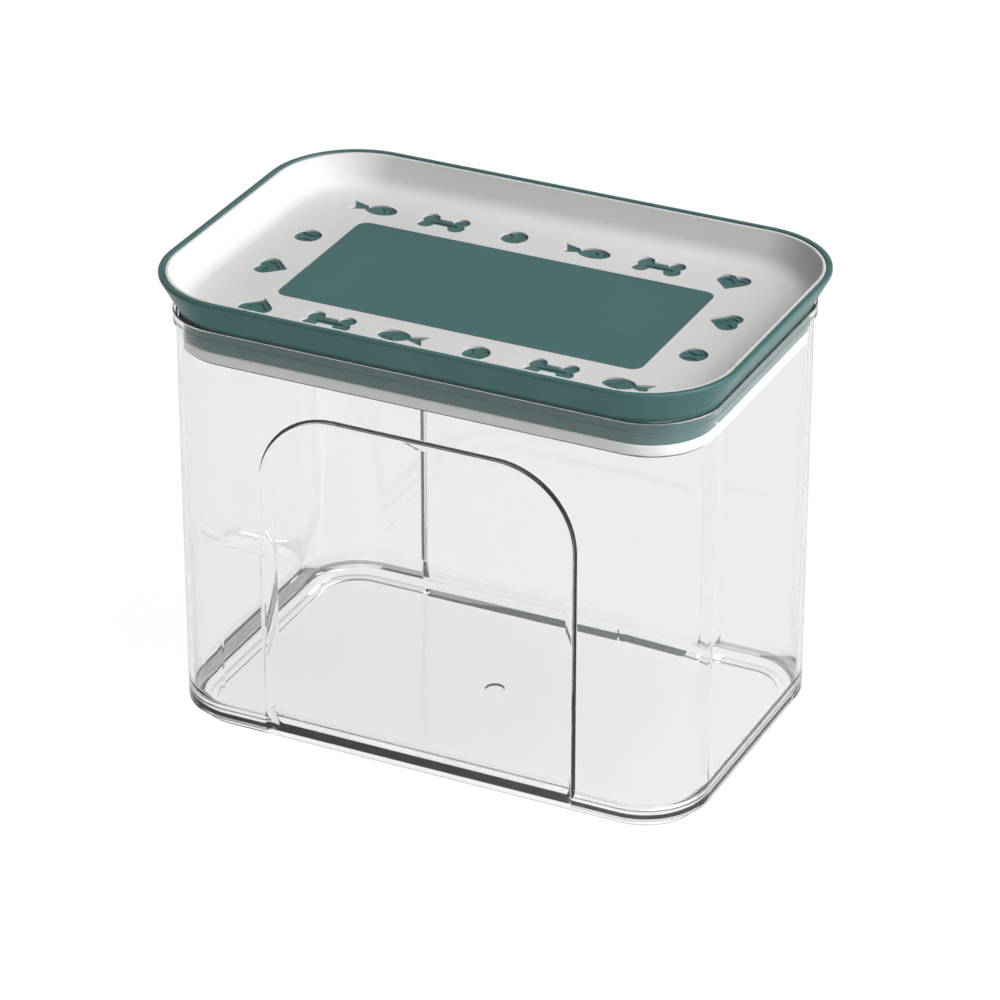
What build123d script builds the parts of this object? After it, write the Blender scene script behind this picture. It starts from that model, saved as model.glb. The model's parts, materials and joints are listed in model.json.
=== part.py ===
from build123d import *
from math import cos, radians, sin
import os

# Pet treat container: a clear moulded tub, closed by a press-in lid.
# Millimetres, +Z up. Origin: centre of the footprint, on the surface the foot stands on.
# Long side along X, short side along Y. The two ends of each axis are alike.

# Tub: outer wall
TUB_LENGTH = 202.0
TUB_WIDTH = 128.5
TUB_HEIGHT = 158.8
TUB_CORNER_RADIUS = 24.5
TUB_WALL = 2.0

# Tub: floor and foot
FLOOR_THICKNESS = 2.5
FLOOR_FILLET = 9.0
FOOT_HEIGHT = 4.5
FOOT_INSET = 3.0
FOOT_EDGE_RADIUS = 3.0
FOOT_LAND_WIDTH = 4.0
BASE_RECESS_DEPTH = 1.0
GATE_MARK_DIAMETER = 7.2
GATE_MARK_DEPTH = 0.8
GATE_MARK_EDGE_RADIUS = 0.5

# Tub: rim bead and mouth
BEAD_HEIGHT = 5.0
BEAD_PROJECTION = 1.1
BEAD_EDGE_RADIUS = 0.6
MOUTH_CHAMFER = 0.6

# Tub: arched panel sunk into the front and back walls, as deep as the foot is inset
ARCH_WIDTH = 119.5
ARCH_DROP = 26.0
ARCH_CORNER_RADIUS = 29.0
ARCH_DRAFT = 35.0
ARCH_EDGE_RADIUS = 0.5
ARCH_ROOT_RADIUS = 3.5
ARCH_CUT_MARGIN = 10.0

# Lid: overall
LID_RISE = 13.2
LID_OVERHANG = 6.5
LID_CORNER_RADIUS = 33.5

# Lid frame: rim ring, flare and shoulder
RIM_RING_WIDTH = 1.8
RIM_LAND_HEIGHT = 1.2
RIM_EDGE_RADIUS = 0.5
FLARE_INSET = 5.5
FLARE_LIFT = 1.6
SHADOW_GAP_DEPTH = 0.7
SHOULDER_THICKNESS = 1.2
SHOULDER_WALL = 1.5

# Lid frame: deck and plug skirt
DECK_THICKNESS = 2.0
PLUG_DEPTH = 14.1
PLUG_CLEARANCE = 0.8
PLUG_WALL = 2.8
PANEL_LENGTH = 138.0
PANEL_WIDTH = 66.0
PANEL_CORNER_RADIUS = 4.0
PANEL_CORE_MARGIN = 2.0
MOTIF_SINK = 0.7

# Lid seal: silicone band in the plug's groove
SEAL_HEIGHT = 4.0
SEAL_CLEARANCE = 0.3
SEAL_THICKNESS = 1.7
SEAL_EDGE_RADIUS = 0.5
SEAL_LEDGE_HEIGHT = 0.8
SEAL_LEDGE_SETBACK = 1.1

# Lid tray: white inlay
TRAY_FLOOR = 1.2
TRAY_WALL = 1.4
TRAY_RIM_DROP = 0.3
TRAY_FILLET = 6.0
TRAY_LIP_RADIUS = 0.4
TRAY_CLEARANCE = 0.1
WINDOW_CLEARANCE = 0.15

# Motifs around the tray: one size, set in rows that miss the corners
MOTIF_LENGTH = 18.0
MOTIFS_ON_LONG_SIDE = 6
MOTIFS_ON_SHORT_SIDE = 2
MOTIF_PITCH = 28.0
MOTIF_DETAIL_DEPTH = 0.4

# Levels and fitted sizes that follow
lid_height = TUB_HEIGHT + LID_RISE
arch_top = TUB_HEIGHT - ARCH_DROP
arch_growth = TUB_WALL * (1 - sin(radians(ARCH_DRAFT))) / cos(radians(ARCH_DRAFT))
deck_top = TUB_HEIGHT + SHOULDER_THICKNESS
tray_top = lid_height - TRAY_RIM_DROP
tray_floor_top = deck_top + TRAY_FLOOR
flare_bottom = TUB_HEIGHT + FLARE_LIFT
flare_top = lid_height - RIM_LAND_HEIGHT
floor_top = BASE_RECESS_DEPTH + FLOOR_THICKNESS
plug_bottom = TUB_HEIGHT - PLUG_DEPTH
seal_bottom = plug_bottom + SEAL_LEDGE_HEIGHT
seal_top = seal_bottom + SEAL_HEIGHT
plug_offset = -TUB_WALL - PLUG_CLEARANCE
seal_outer_offset = -TUB_WALL - SEAL_CLEARANCE
seal_inner_offset = seal_outer_offset - SEAL_THICKNESS
shoulder_inset = FLARE_INSET + SHADOW_GAP_DEPTH
pocket_floor_inset = shoulder_inset + SHOULDER_WALL
pocket_slope = (pocket_floor_inset - RIM_RING_WIDTH) / (lid_height - deck_top)


def tub_outline(offset):
    """Rounded rectangle at a distance outside the tub's wall face."""
    return RectangleRounded(
        TUB_LENGTH + 2 * offset, TUB_WIDTH + 2 * offset, TUB_CORNER_RADIUS + offset
    )


def lid_outline(inset):
    """Rounded rectangle at a distance inside the lid's rim."""
    return RectangleRounded(
        TUB_LENGTH + 2 * (LID_OVERHANG - inset),
        TUB_WIDTH + 2 * (LID_OVERHANG - inset),
        LID_CORNER_RADIUS - inset,
    )


def upright(outline, bottom, top):
    """Outline extruded between two heights."""
    return Pos(0, 0, bottom) * extrude(outline, top - bottom)


def tapered(lower, bottom, upper, top):
    """Ruled body between two outlines at two heights."""
    return loft([Pos(0, 0, bottom) * lower, Pos(0, 0, top) * upper], ruled=True)


def edges_at(body, height):
    """The body's edges that lie flat at one height."""
    return body.edges().filter_by_position(Axis.Z, height, height)


def mirrored_pair(body):
    """The body, and its mirror image across the XZ plane."""
    return body + mirror(body, Plane.XZ)


# Tub

def arch_block(face_offset, growth, depth):
    """Arched block that runs inward from a plane parallel to the front wall."""
    width = ARCH_WIDTH + 2 * growth
    top = arch_top + growth
    outline = Pos(0, (top - ARCH_CUT_MARGIN) / 2) * Rectangle(width, top + ARCH_CUT_MARGIN)
    outline = fillet(outline.vertices().group_by(Axis.Y)[-1], ARCH_CORNER_RADIUS + growth)
    front = Plane(
        origin=(0, -TUB_WIDTH / 2 - face_offset, 0), x_dir=(1, 0, 0), z_dir=(0, -1, 0)
    )
    return extrude(front * outline, -depth, taper=ARCH_DRAFT)


def arch_edges(body, plane_offset, growth, bottom):
    """Edges of the front arch's outline on one plane, above one height."""
    reach = -TUB_WIDTH / 2 - plane_offset
    side = ARCH_WIDTH / 2 + growth + ARCH_EDGE_RADIUS
    top = arch_top + growth + ARCH_EDGE_RADIUS
    on_plane = body.edges().filter_by_position(Axis.Y, reach, reach)
    return ShapeList(
        edge for edge in on_plane
        if abs(edge.center().X) < side and bottom < edge.center().Z < top
    )


def sink_arches(body, face_offset, growth, root_radius, bottom):
    """Sink the arch into the front and back faces, both edges of its step rounded."""
    block = arch_block(face_offset, growth, FOOT_INSET)
    block = fillet(arch_edges(block, face_offset - FOOT_INSET, growth, 0), root_radius)
    for _ in ("front", "back"):
        body -= block
        body = fillet(arch_edges(body, face_offset, growth, bottom), ARCH_EDGE_RADIUS)
        body = Rot(0, 0, 180) * body
    return body


def make_tub():
    """Clear tub: wall, foot, sunk arch panels, rim bead and rounded inside."""
    foot = upright(tub_outline(-FOOT_INSET), 0, TUB_HEIGHT)
    foot = fillet(edges_at(foot, 0), FOOT_EDGE_RADIUS)
    wall = upright(tub_outline(0), FOOT_HEIGHT, TUB_HEIGHT)
    wall = sink_arches(wall, 0, 0, ARCH_ROOT_RADIUS, FOOT_HEIGHT)
    bead = upright(tub_outline(BEAD_PROJECTION), TUB_HEIGHT - BEAD_HEIGHT, TUB_HEIGHT)
    bead_edges = edges_at(bead, TUB_HEIGHT) + edges_at(bead, TUB_HEIGHT - BEAD_HEIGHT)
    bead = fillet(bead_edges, BEAD_EDGE_RADIUS)

    inner = -TUB_WALL
    above = TUB_HEIGHT + MOUTH_CHAMFER
    fillet_top = floor_top + FLOOR_FILLET
    inside = upright(tub_outline(inner), floor_top, above)
    inside = fillet(edges_at(inside, floor_top), FLOOR_FILLET)
    inner_root_radius = ARCH_ROOT_RADIUS + TUB_WALL
    inside = sink_arches(inside, inner, arch_growth, inner_root_radius, fillet_top)
    behind_arch = upright(tub_outline(inner - FOOT_INSET), floor_top, above)
    behind_arch = fillet(edges_at(behind_arch, floor_top), FLOOR_FILLET)
    pad_foot = arch_block(inner, arch_growth, FOOT_INSET + FLOOR_FILLET)
    pad_foot &= upright(tub_outline(0), 0, fillet_top)
    inside -= mirrored_pair(pad_foot - behind_arch)

    mouth = tapered(
        tub_outline(inner), TUB_HEIGHT - MOUTH_CHAMFER,
        tub_outline(inner + 2 * MOUTH_CHAMFER), above,
    )
    land_offset = -FOOT_INSET - FOOT_EDGE_RADIUS - FOOT_LAND_WIDTH
    base_recess = upright(tub_outline(land_offset), 0, BASE_RECESS_DEPTH)
    gate_bottom = floor_top - GATE_MARK_DEPTH
    gate_mark = upright(Circle(GATE_MARK_DIAMETER / 2), gate_bottom, floor_top)
    gate_mark = fillet(edges_at(gate_mark, gate_bottom), GATE_MARK_EDGE_RADIUS)
    return foot + wall + bead - inside - mouth - base_recess - gate_mark


# Motifs: flat outlines, each within MOTIF_LENGTH, and the relief on each

def bone_outline(grow):
    """Dog biscuit bone: a bar with two knobs at each end."""
    knob = 0.17 * MOTIF_LENGTH
    reach = MOTIF_LENGTH / 2 - knob
    shape = Rectangle(2 * reach, 0.26 * MOTIF_LENGTH + 2 * grow)
    for side in (-1, 1):
        for end in (-1, 1):
            shape += Pos(side * reach, end * 0.8 * knob) * Circle(knob + grow)
    return shape


def fish_outline(grow):
    """Fish biscuit: an oval body and a notched tail."""
    body_length = 0.66 * MOTIF_LENGTH
    nose = MOTIF_LENGTH / 2
    body = Pos(nose - body_length / 2, 0) * Ellipse(
        body_length / 2 + grow, 0.22 * MOTIF_LENGTH + grow
    )
    root = nose - 0.88 * body_length
    spread = 0.2 * MOTIF_LENGTH + grow
    tail = Polygon(
        (root, 0.05 * MOTIF_LENGTH + grow), (-nose - grow, spread), (-0.8 * nose - grow, 0),
        (-nose - grow, -spread), (root, -0.05 * MOTIF_LENGTH - grow), align=None,
    )
    return body + tail


def heart_outline(grow):
    """Heart: two lobes and a point."""
    lobe = 0.2 * MOTIF_LENGTH
    square = Rot(0, 0, 45) * Rectangle(2 * lobe + 2 * grow, 2 * lobe + 2 * grow)
    shift = lobe / 2 ** 0.5
    shape = square
    for side in (-1, 1):
        shape += Pos(side * shift, shift) * Circle(lobe + grow)
    return Pos(0, -shift / 2) * shape


def ball_outline(grow):
    """Play ball."""
    return Circle(0.27 * MOTIF_LENGTH + grow)


def bone_relief():
    """A groove along the bone."""
    return SlotOverall(0.6 * MOTIF_LENGTH, 0.08 * MOTIF_LENGTH)


def fish_relief():
    """An eye and a gill line."""
    eye = Pos(0.36 * MOTIF_LENGTH, 0.05 * MOTIF_LENGTH) * Circle(0.035 * MOTIF_LENGTH)
    gill = Pos(0.12 * MOTIF_LENGTH, 0) * Circle(0.14 * MOTIF_LENGTH)
    gill -= Pos(0.07 * MOTIF_LENGTH, 0) * Circle(0.14 * MOTIF_LENGTH)
    return eye + gill


def heart_relief():
    """A smaller heart sunk in the middle."""
    return heart_outline(-0.09 * MOTIF_LENGTH)


def ball_relief():
    """Two seams that curve away from each other."""
    seams = None
    for side in (-1, 1):
        ring = Circle(0.24 * MOTIF_LENGTH) - Circle(0.19 * MOTIF_LENGTH)
        seam = Pos(side * 0.3 * MOTIF_LENGTH, 0) * ring & ball_outline(-0.01 * MOTIF_LENGTH)
        seams = seam if seams is None else seams + seam
    return seams


MOTIFS = {
    "bone": (bone_outline, bone_relief),
    "fish": (fish_outline, fish_relief),
    "heart": (heart_outline, heart_relief),
    "ball": (ball_outline, ball_relief),
}
LONG_SIDE_ORDER = ("heart", "bone", "fish", "ball", "bone", "fish")
SHORT_SIDE_ORDER = ("ball", "heart")


def motif_places():
    """Location and kind of each motif around the raised panel."""
    floor_half_width = TUB_WIDTH / 2 + LID_OVERHANG - pocket_floor_inset - TRAY_WALL - TRAY_FILLET
    floor_half_length = floor_half_width + (TUB_LENGTH - TUB_WIDTH) / 2
    row_y = (PANEL_WIDTH / 2 + floor_half_width) / 2
    row_x = (PANEL_LENGTH / 2 + floor_half_length) / 2
    places = []
    for side in (-1, 1):
        for i in range(MOTIFS_ON_LONG_SIDE):
            along = (i - (MOTIFS_ON_LONG_SIDE - 1) / 2) * MOTIF_PITCH
            kind = LONG_SIDE_ORDER[i % len(LONG_SIDE_ORDER)]
            spot = Pos(-side * along, side * row_y)
            turn = 0 if side > 0 else 180
            places.append((spot * Rot(0, 0, turn), kind))
        for i in range(MOTIFS_ON_SHORT_SIDE):
            along = (i - (MOTIFS_ON_SHORT_SIDE - 1) / 2) * MOTIF_PITCH
            kind = SHORT_SIDE_ORDER[i % len(SHORT_SIDE_ORDER)]
            spot = Pos(side * row_x, side * along)
            places.append((spot * Rot(0, 0, -side * 90), kind))
    return places


# Lid frame

def make_lid_frame():
    """Coloured frame: flared rim, deck with raised panel and motifs, and plug skirt."""
    rim = upright(lid_outline(0), flare_top, lid_height)
    rim = fillet(edges_at(rim, lid_height), RIM_EDGE_RADIUS)
    flare = tapered(lid_outline(FLARE_INSET), flare_bottom, lid_outline(0), flare_top)
    shoulder = upright(lid_outline(shoulder_inset), TUB_HEIGHT, flare_bottom)
    pocket = tapered(
        lid_outline(pocket_floor_inset), deck_top, lid_outline(RIM_RING_WIDTH), lid_height
    )
    skirt = upright(tub_outline(plug_offset), plug_bottom, TUB_HEIGHT)
    groove = upright(tub_outline(plug_offset), plug_bottom, seal_top)
    groove -= upright(tub_outline(seal_inner_offset), plug_bottom, seal_top)
    groove -= upright(
        tub_outline(seal_outer_offset - SEAL_LEDGE_SETBACK), plug_bottom, seal_bottom
    )
    hollow = upright(
        tub_outline(plug_offset - PLUG_WALL), plug_bottom, deck_top - DECK_THICKNESS
    )
    frame = rim + flare + shoulder + skirt - pocket - groove - hollow

    panel = upright(
        RectangleRounded(PANEL_LENGTH, PANEL_WIDTH, PANEL_CORNER_RADIUS),
        deck_top, tray_floor_top,
    )
    core = upright(
        RectangleRounded(
            PANEL_LENGTH - 2 * PANEL_CORE_MARGIN, PANEL_WIDTH - 2 * PANEL_CORE_MARGIN,
            PANEL_CORNER_RADIUS,
        ),
        deck_top - DECK_THICKNESS, tray_floor_top - DECK_THICKNESS,
    )
    frame = frame + panel - core
    motif_top = tray_floor_top - MOTIF_SINK
    for place, kind in motif_places():
        outline, relief = MOTIFS[kind]
        frame += upright(place * outline(0), deck_top, motif_top)
        frame -= upright(place * relief(), motif_top - MOTIF_DETAIL_DEPTH, motif_top)
    return frame


# Lid tray

def make_lid_tray():
    """White inlay: dished tray with windows for the panel and the motifs."""
    outer = tapered(
        lid_outline(pocket_floor_inset + TRAY_CLEARANCE), deck_top,
        lid_outline(RIM_RING_WIDTH + TRAY_CLEARANCE + TRAY_RIM_DROP * pocket_slope), tray_top,
    )
    inner_top = RIM_RING_WIDTH + TRAY_CLEARANCE + TRAY_RIM_DROP * pocket_slope + TRAY_WALL
    inner_floor = pocket_floor_inset + TRAY_CLEARANCE + TRAY_WALL - TRAY_FLOOR * pocket_slope
    inner = tapered(
        lid_outline(inner_floor), tray_floor_top, lid_outline(inner_top), tray_top
    )
    inner = fillet(edges_at(inner, tray_floor_top), TRAY_FILLET)
    tray = outer - inner
    tray = fillet(edges_at(tray, tray_top), TRAY_LIP_RADIUS)
    tray -= upright(
        RectangleRounded(
            PANEL_LENGTH + 2 * WINDOW_CLEARANCE, PANEL_WIDTH + 2 * WINDOW_CLEARANCE,
            PANEL_CORNER_RADIUS + WINDOW_CLEARANCE,
        ),
        deck_top, tray_floor_top,
    )
    for place, kind in motif_places():
        outline = MOTIFS[kind][0]
        tray -= upright(place * outline(WINDOW_CLEARANCE), deck_top, tray_floor_top)
    return tray


# Lid seal

def make_lid_seal():
    """Silicone band that fills the plug's groove and faces the tub's wall."""
    band = upright(tub_outline(seal_outer_offset), seal_bottom, seal_top)
    band = fillet(
        edges_at(band, seal_bottom) + edges_at(band, seal_top), SEAL_EDGE_RADIUS
    )
    return band - upright(tub_outline(seal_inner_offset), seal_bottom, seal_top)


PARTS = {
    "tub": make_tub,
    "lid_frame": make_lid_frame,
    "lid_tray": make_lid_tray,
    "lid_seal": make_lid_seal,
}

os.makedirs("parts", exist_ok=True)
for name, make in PARTS.items():
    export_step(make(), os.path.join("parts", name + ".step"))
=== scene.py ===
"""Looks of a pet treat container: a clear tub closed by a two-colour press-in lid.

Lengths are in metres and angles in degrees, unless a name says otherwise.
"""

import json
import logging
import math
from abc import ABC, abstractmethod
from dataclasses import dataclass
from enum import Enum

import bpy
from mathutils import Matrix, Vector

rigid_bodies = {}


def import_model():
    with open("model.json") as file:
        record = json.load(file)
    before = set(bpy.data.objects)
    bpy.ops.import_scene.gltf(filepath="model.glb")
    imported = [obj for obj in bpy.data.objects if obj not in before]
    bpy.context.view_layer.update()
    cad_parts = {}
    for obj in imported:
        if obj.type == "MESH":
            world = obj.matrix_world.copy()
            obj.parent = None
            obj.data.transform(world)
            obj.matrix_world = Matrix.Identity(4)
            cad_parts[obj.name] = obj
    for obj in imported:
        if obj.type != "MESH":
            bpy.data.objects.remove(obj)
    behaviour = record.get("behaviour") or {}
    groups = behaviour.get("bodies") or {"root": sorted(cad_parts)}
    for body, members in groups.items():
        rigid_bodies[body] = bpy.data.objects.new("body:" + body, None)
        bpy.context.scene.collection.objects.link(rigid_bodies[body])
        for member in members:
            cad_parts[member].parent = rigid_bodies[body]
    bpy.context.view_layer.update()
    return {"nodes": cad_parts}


LOG = logging.getLogger("pet_treat_container")
MM = 0.001
SENSOR_WIDTH_MM = 36.0
FARTHEST_SEEN = 50.0
# Light runs along inside clear walls, and comes out only after many bounces.
LIGHT_BOUNCES = 96


class Moulding(Enum):
    """The separate mouldings, by the name of their node."""

    TUB = "tub"
    LID_FRAME = "lid_frame"
    LID_TRAY = "lid_tray"
    LID_SEAL = "lid_seal"


def srgb(hex_code: str) -> tuple[float, float, float, float]:
    """Turn an sRGB hex value into a linear colour.

    Args:
        hex_code: Six hex digits, with or without a leading hash.

    Returns:
        Linear red, green and blue, and an alpha of 1.
    """
    digits = hex_code.lstrip("#")
    channels = []
    for i in (0, 2, 4):
        value = int(digits[i : i + 2], 16) / 255
        # The curve that sRGB defines: straight near black, then a power.
        if value <= 0.04045:
            channels.append(value / 12.92)
        else:
            channels.append(((value + 0.055) / 1.055) ** 2.4)
    return (*channels, 1.0)


def per_mm(size_mm: float) -> float:
    """Noise scale, in repeats per metre, for a feature of that size in millimetres."""
    return 1.0 / (size_mm * MM)


def direction(azimuth: float, elevation: float) -> Vector:
    """Unit vector from the container towards a place round it.

    Args:
        azimuth: Angle from the front towards the right side, seen from above.
        elevation: Angle above the level.

    Returns:
        The direction.
    """
    turn = math.radians(azimuth)
    lift = math.radians(elevation)
    level = math.cos(lift)
    return Vector((math.sin(turn) * level, -math.cos(turn) * level, math.sin(lift)))


def stand_and_aim(
    thing: bpy.types.Object, aim: Vector, away: Vector, distance: float
) -> None:
    """Stand a light or the camera away from a point, turn it to that point and link it.

    Args:
        thing: The light or camera.
        aim: The point it looks at.
        away: Direction from that point towards the thing.
        distance: How far apart the two are.
    """
    thing.location = aim + away * distance
    thing.rotation_euler = (-away).to_track_quat("-Z", "Y").to_euler()
    bpy.context.scene.collection.objects.link(thing)


def add_node(
    tree: bpy.types.NodeTree,
    kind: str,
    settings: dict | None = None,
    inputs: dict | None = None,
    links: dict | None = None,
) -> bpy.types.Node:
    """Add one node with its settings, its input values and its incoming links.

    Args:
        tree: The node tree to add to.
        kind: The node's type name.
        settings: Attributes of the node, by name.
        inputs: Values of its input sockets, by name or number.
        links: Output sockets to join to its inputs, by the input's name or number.

    Returns:
        The new node.
    """
    node = tree.nodes.new(kind)
    for name, value in (settings or {}).items():
        setattr(node, name, value)
    for name, value in (inputs or {}).items():
        node.inputs[name].default_value = value
    for name, socket in (links or {}).items():
        tree.links.new(socket, node.inputs[name])
    return node


def blank_material(name: str) -> tuple[bpy.types.Material, bpy.types.NodeTree]:
    """Make an empty node material.

    Args:
        name: The material's name.

    Returns:
        The material and its cleared node tree.
    """
    material = bpy.data.materials.new(name)
    material.use_nodes = True
    material.node_tree.nodes.clear()
    return material, material.node_tree


@dataclass(frozen=True)
class MouldedPolypropylene:
    """Coloured polypropylene, injection moulded in a fine spark-eroded tool.

    The eye sees a satin skin: soft highlights, a grain that just breaks them up and
    a slight cloudiness of colour where the melt flowed. The grain of such a tool is
    about 0.1 mm, too fine to show, so it is drawn five times as coarse.
    """

    name: str
    colour: str
    flow_colour: str
    roughness: float = 0.36
    duller: float = 0.05
    glossier: float = 0.04
    grain_mm: float = 0.5
    grain_depth_mm: float = 0.012
    grain_strength: float = 0.5
    flow_mm: float = 38.0
    flow_span: tuple[float, float] = (0.35, 0.7)
    ior: float = 1.49
    specular_level: float = 0.28

    def make(self) -> bpy.types.Material:
        """Build the node material.

        Returns:
            The material.
        """
        material, tree = blank_material(self.name)
        place = add_node(tree, "ShaderNodeTexCoord").outputs["Object"]
        flow = add_node(
            tree, "ShaderNodeTexNoise",
            inputs={"Scale": per_mm(self.flow_mm), "Detail": 3.0, "Roughness": 0.5},
            links={"Vector": place},
        )
        tint = add_node(tree, "ShaderNodeValToRGB", links={"Fac": flow.outputs["Fac"]})
        hex_codes = (self.colour, self.flow_colour)
        stops = zip(tint.color_ramp.elements, self.flow_span, hex_codes)
        for stop, position, hex_code in stops:
            stop.position = position
            stop.color = srgb(hex_code)
        grain = add_node(
            tree, "ShaderNodeTexNoise",
            inputs={"Scale": per_mm(self.grain_mm), "Detail": 2.0, "Roughness": 0.6},
            links={"Vector": place},
        )
        sheen = add_node(
            tree, "ShaderNodeMapRange",
            inputs={
                "To Min": self.roughness - self.glossier,
                "To Max": self.roughness + self.duller,
            },
            links={"Value": flow.outputs["Fac"]},
        )
        bump = add_node(
            tree, "ShaderNodeBump",
            inputs={
                "Strength": self.grain_strength,
                "Distance": self.grain_depth_mm * MM,
            },
            links={"Height": grain.outputs["Fac"]},
        )
        shader = add_node(
            tree, "ShaderNodeBsdfPrincipled",
            inputs={"IOR": self.ior, "Specular IOR Level": self.specular_level},
            links={
                "Base Color": tint.outputs["Color"],
                "Roughness": sheen.outputs["Result"],
                "Normal": bump.outputs["Normal"],
            },
        )
        add_node(
            tree, "ShaderNodeOutputMaterial", links={"Surface": shader.outputs["BSDF"]}
        )
        return material


@dataclass(frozen=True)
class ClearStyrene:
    """Clear styrene acrylonitrile, injection moulded in a polished tool.

    The eye sees glass-like walls with faint long waves from the flow of the melt and
    a scarcely duller gloss in patches. The index is set a little below the 1.57 of
    such plastic, to match the walls.
    """

    name: str
    colour: str
    dullest_roughness: float = 0.024
    clarity: float = 0.97
    ior: float = 1.53
    wave_mm: float = 46.0
    wave_depth_mm: float = 0.02
    wave_strength: float = 0.4

    def make(self) -> bpy.types.Material:
        """Build the node material.

        Returns:
            The material.
        """
        material, tree = blank_material(self.name)
        place = add_node(tree, "ShaderNodeTexCoord").outputs["Object"]
        wave = add_node(
            tree, "ShaderNodeTexNoise",
            inputs={"Scale": per_mm(self.wave_mm), "Detail": 1.0, "Roughness": 0.4},
            links={"Vector": place},
        )
        gloss = add_node(
            tree, "ShaderNodeMapRange",
            inputs={"To Min": 0.0, "To Max": self.dullest_roughness},
            links={"Value": wave.outputs["Fac"]},
        )
        bump = add_node(
            tree, "ShaderNodeBump",
            inputs={
                "Strength": self.wave_strength,
                "Distance": self.wave_depth_mm * MM,
            },
            links={"Height": wave.outputs["Fac"]},
        )
        shader = add_node(
            tree, "ShaderNodeBsdfPrincipled",
            inputs={
                "Base Color": srgb(self.colour),
                "IOR": self.ior,
                "Transmission Weight": self.clarity,
            },
            links={
                "Roughness": gloss.outputs["Result"],
                "Normal": bump.outputs["Normal"],
            },
        )
        add_node(
            tree, "ShaderNodeOutputMaterial", links={"Surface": shader.outputs["BSDF"]}
        )
        return material


@dataclass(frozen=True)
class PaleSilicone:
    """Translucent silicone rubber, compression moulded.

    The eye sees a milky band that glows a little where light passes into it, with the
    soft drag marks that handling leaves.
    """

    name: str
    colour: str
    roughness: float = 0.48
    duller: float = 0.1
    glossier: float = 0.08
    ior: float = 1.41
    mark_mm: float = 5.0
    glow_share: float = 0.4
    glow_depth_mm: float = 1.2

    def make(self) -> bpy.types.Material:
        """Build the node material.

        Returns:
            The material.
        """
        material, tree = blank_material(self.name)
        place = add_node(tree, "ShaderNodeTexCoord").outputs["Object"]
        mark = add_node(
            tree, "ShaderNodeTexNoise",
            inputs={"Scale": per_mm(self.mark_mm), "Detail": 4.0, "Roughness": 0.6},
            links={"Vector": place},
        )
        dull = add_node(
            tree, "ShaderNodeMapRange",
            inputs={
                "To Min": self.roughness - self.glossier,
                "To Max": self.roughness + self.duller,
            },
            links={"Value": mark.outputs["Fac"]},
        )
        shader = add_node(
            tree, "ShaderNodeBsdfPrincipled",
            inputs={
                "Base Color": srgb(self.colour),
                "IOR": self.ior,
                "Subsurface Weight": self.glow_share,
                "Subsurface Radius": (1.0, 1.0, 1.0),
                "Subsurface Scale": self.glow_depth_mm * MM,
            },
            links={"Roughness": dull.outputs["Result"]},
        )
        add_node(
            tree, "ShaderNodeOutputMaterial", links={"Surface": shader.outputs["BSDF"]}
        )
        return material


@dataclass(frozen=True)
class OpalLightTable:
    """Opal acrylic top of a light table, sand blasted, with faint mottle.

    The eye sees an even white ground on which almost no shadow falls.
    """

    name: str
    colour: str
    glow_colour: str = "#FFFFFF"
    glow: float = 0.98
    roughness_span: tuple[float, float] = (0.85, 0.95)
    specular_level: float = 0.1
    mottle_mm: float = 14.0

    def make(self) -> bpy.types.Material:
        """Build the node material.

        Returns:
            The material.
        """
        material, tree = blank_material(self.name)
        place = add_node(tree, "ShaderNodeTexCoord").outputs["Object"]
        mottle = add_node(
            tree, "ShaderNodeTexNoise",
            inputs={"Scale": per_mm(self.mottle_mm), "Detail": 2.0},
            links={"Vector": place},
        )
        smoothest, roughest = self.roughness_span
        dull = add_node(
            tree, "ShaderNodeMapRange",
            inputs={"To Min": smoothest, "To Max": roughest},
            links={"Value": mottle.outputs["Fac"]},
        )
        shader = add_node(
            tree, "ShaderNodeBsdfPrincipled",
            inputs={
                "Base Color": srgb(self.colour),
                "Specular IOR Level": self.specular_level,
                "Emission Color": srgb(self.glow_colour),
                "Emission Strength": self.glow,
            },
            links={"Roughness": dull.outputs["Result"]},
        )
        add_node(
            tree, "ShaderNodeOutputMaterial", links={"Surface": shader.outputs["BSDF"]}
        )
        return material


Finish = MouldedPolypropylene | ClearStyrene | PaleSilicone


@dataclass
class SubAssembly(ABC):
    """Mouldings that keep the shape they were built with, and get a finish each."""

    @abstractmethod
    def finishes(self) -> dict[Moulding, Finish]:
        """The finish of each moulding, in the order that they are dressed."""

    def dress(self, nodes: dict[str, bpy.types.Object]) -> list[bpy.types.Object]:
        """Give each moulding its finish.

        Args:
            nodes: The frame's node objects by name.

        Returns:
            The dressed objects.
        """
        dressed = []
        for moulding, finish in self.finishes().items():
            piece = nodes[moulding.value]
            material = finish.make()
            for material_slot in piece.material_slots:
                material_slot.material = material
            dressed.append(piece)
        return dressed


@dataclass
class Tub(SubAssembly):
    """The clear tub: walls with their sunk arches, floor and foot in one moulding."""

    plastic: Finish = ClearStyrene("clear_moulded_styrene_acrylonitrile", "#FAFBFB")

    def finishes(self) -> dict[Moulding, Finish]:
        """The clear plastic of the one moulding."""
        return {Moulding.TUB: self.plastic}


@dataclass
class Lid(SubAssembly):
    """The press-in lid: a green frame, the white tray in it and its plug's seal."""

    frame: Finish = MouldedPolypropylene(
        "green_moulded_polypropylene", "#4B7070", "#4F7575"
    )
    tray: Finish = MouldedPolypropylene(
        "white_moulded_polypropylene", "#E3E3E2", "#E7E7E6", roughness=0.42
    )
    seal: Finish = PaleSilicone("pale_translucent_silicone", "#FAFBF9")

    def finishes(self) -> dict[Moulding, Finish]:
        """The two plastics and the rubber of the lid."""
        return {
            Moulding.LID_FRAME: self.frame,
            Moulding.LID_TRAY: self.tray,
            Moulding.LID_SEAL: self.seal,
        }


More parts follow.
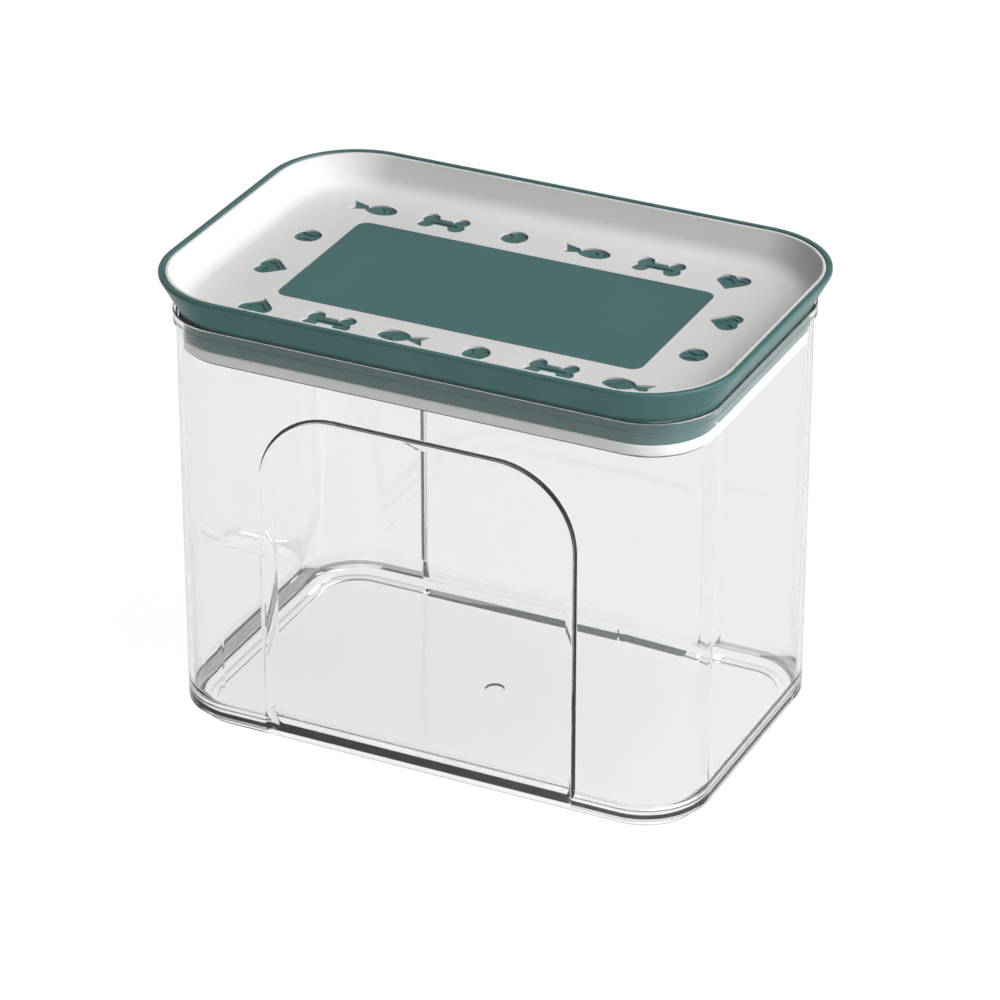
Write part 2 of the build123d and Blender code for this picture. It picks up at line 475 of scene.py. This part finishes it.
@dataclass
class Softbox:
    """One square studio light, aimed at the middle of the container.

    The clear tub casts no shadow of it, since real clear walls let its light through.
    Power is in watts. Where gleams_in_tub is false, the tub shows no streak of it.
    """

    name: str
    azimuth: float
    elevation: float
    distance: float
    size: float
    power: float
    gleams_in_tub: bool = True
    aim_height: float = 0.09

    def place(self, see_through: bpy.types.Object) -> bpy.types.Object:
        """Add the light and turn it to the container.

        Args:
            see_through: The clear moulding, which casts no shadow of this light.

        Returns:
            The light.
        """
        lamp = bpy.data.lights.new(self.name, "AREA")
        lamp.shape = "SQUARE"
        lamp.size = self.size
        lamp.energy = self.power
        light = bpy.data.objects.new(self.name, lamp)
        away = direction(self.azimuth, self.elevation)
        stand_and_aim(light, Vector((0, 0, self.aim_height)), away, self.distance)
        left_out = bpy.data.collections.new(self.name + "_left_out")
        left_out.objects.link(see_through)
        left_out.collection_objects[0].light_linking.link_state = "EXCLUDE"
        light.light_linking.blocker_collection = left_out
        if not self.gleams_in_tub:
            light.light_linking.receiver_collection = left_out
        return light


@dataclass
class Studio:
    """Light table, softboxes, a dim room with a white cloth, and the camera.

    The azimuth, elevation, distance, lens and target are those of the camera. The
    cloth hangs opposite it: cloth_edge gives where a side begins and ends its fade, as
    cosines of the angle from the middle, and cloth_top where the top does, as sines of
    the elevation.
    """

    azimuth: float = 25.7
    elevation: float = 28.15
    distance: float = 1.6696
    lens_mm: float = 169.8
    target: tuple[float, float, float] = (0.0013, 0.0007, 0.0802)
    floor_size: float = 12.0
    floor_gap_mm: float = 0.3
    room_glow: float = 0.1
    room_glow_through_walls: float = 0.45
    cloth_glow: float = 0.85
    cloth_colour: str = "#FFFFFF"
    cloth_edge: tuple[float, float] = (0.3, 0.7)
    cloth_top: tuple[float, float] = (0.4, 0.15)
    softboxes: tuple[Softbox, ...] = (
        Softbox(
            "key_softbox", azimuth=90.0, elevation=26.0, distance=1.8, size=1.2,
            power=28.0, gleams_in_tub=False,
        ),
        Softbox(
            "top_softbox", azimuth=95.0, elevation=66.0, distance=1.8, size=1.2,
            power=18.5,
        ),
        Softbox(
            "front_softbox", azimuth=5.0, elevation=24.0, distance=2.4, size=1.6,
            power=2.0,
        ),
    )

    def build(self, table: bpy.types.Material, see_through: bpy.types.Object) -> None:
        """Make the floor, lights, surround and camera.

        Args:
            table: The floor's material.
            see_through: The clear moulding, which casts no shadow of the softboxes.
        """
        self._add_floor(table)
        for softbox in self.softboxes:
            softbox.place(see_through)
        self._add_surround()
        self._add_camera()

    def _add_floor(self, table: bpy.types.Material) -> None:
        """Lay the light table just under the foot, so that the two never meet.

        Args:
            table: The floor's material.
        """
        bpy.ops.mesh.primitive_plane_add(
            size=self.floor_size, location=(0, 0, -self.floor_gap_mm * MM)
        )
        floor = bpy.context.active_object
        floor.name = "studio_floor"
        # Glossy walls would otherwise mirror the lit table as a broad bright sheet.
        floor.visible_glossy = False
        floor.data.materials.append(table)

    def _add_surround(self) -> None:
        """Hang a white cloth low behind the set, in a dim room."""
        world = bpy.data.worlds.new("studio_surround")
        bpy.context.scene.world = world
        world.use_nodes = True
        # Room and cloth are seen in gloss and through walls. Only the softboxes and the
        # table light the matt faces.
        world.cycles_visibility.diffuse = False
        tree = world.node_tree
        tree.nodes.clear()
        place = add_node(tree, "ShaderNodeTexCoord").outputs["Generated"]
        behind = add_node(
            tree, "ShaderNodeVectorMath", {"operation": "DOT_PRODUCT"},
            inputs={1: -direction(self.azimuth, 0)}, links={0: place},
        )
        edge_out, edge_in = self.cloth_edge
        along = add_node(
            tree, "ShaderNodeMapRange",
            inputs={"From Min": edge_out, "From Max": edge_in},
            links={"Value": behind.outputs["Value"]},
        )
        height = add_node(tree, "ShaderNodeSeparateXYZ", links={"Vector": place})
        top_out, top_in = self.cloth_top
        below = add_node(
            tree, "ShaderNodeMapRange",
            inputs={"From Min": top_out, "From Max": top_in},
            links={"Value": height.outputs["Z"]},
        )
        cloth = add_node(
            tree, "ShaderNodeMath", {"operation": "MULTIPLY"},
            links={0: along.outputs["Result"], 1: below.outputs["Result"]},
        )
        # Through the clear walls the room shows paler, so that their edges aren't black.
        path = add_node(tree, "ShaderNodeLightPath")
        room = add_node(
            tree, "ShaderNodeMapRange",
            inputs={"To Min": self.room_glow, "To Max": self.room_glow_through_walls},
            links={"Value": path.outputs["Is Transmission Ray"]},
        )
        strength = add_node(
            tree, "ShaderNodeMapRange",
            inputs={"To Max": self.cloth_glow},
            links={"Value": cloth.outputs["Value"], "To Min": room.outputs["Result"]},
        )
        glow = add_node(
            tree, "ShaderNodeBackground", inputs={"Color": srgb(self.cloth_colour)},
            links={"Strength": strength.outputs["Result"]},
        )
        add_node(
            tree, "ShaderNodeOutputWorld", links={"Surface": glow.outputs["Background"]}
        )

    def _add_camera(self) -> None:
        """Set the camera at the photograph's angle."""
        lens = bpy.data.cameras.new("studio_camera")
        lens.sensor_width = SENSOR_WIDTH_MM
        lens.lens = self.lens_mm
        lens.clip_end = FARTHEST_SEEN
        camera = bpy.data.objects.new("studio_camera", lens)
        away = direction(self.azimuth, self.elevation)
        stand_and_aim(camera, Vector(self.target), away, self.distance)
        bpy.context.scene.camera = camera


def clear_start_scene() -> None:
    """Remove what a new file holds before the frame is loaded."""
    for thing in list(bpy.data.objects):
        bpy.data.objects.remove(thing, do_unlink=True)


def set_light_transport() -> None:
    """Give clear walls enough bounces, and show colours as they are."""
    scene = bpy.context.scene
    scene.cycles.max_bounces = LIGHT_BOUNCES
    scene.cycles.transmission_bounces = LIGHT_BOUNCES
    scene.cycles.transparent_max_bounces = LIGHT_BOUNCES
    scene.view_settings.view_transform = "Standard"
    scene.view_settings.look = "None"


def main() -> None:
    """Dress the container and build its studio."""
    logging.basicConfig(level=logging.INFO, format="%(name)s: %(message)s")
    clear_start_scene()
    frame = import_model()

    for assembly in (Tub(), Lid()):
        for piece in assembly.dress(frame["nodes"]):
            LOG.info("dressed %s", piece.name)

    table = OpalLightTable("opal_light_table", "#404040")
    Studio().build(table.make(), frame["nodes"][Moulding.TUB.value])
    set_light_transport()


if __name__ == "__main__":
    main()
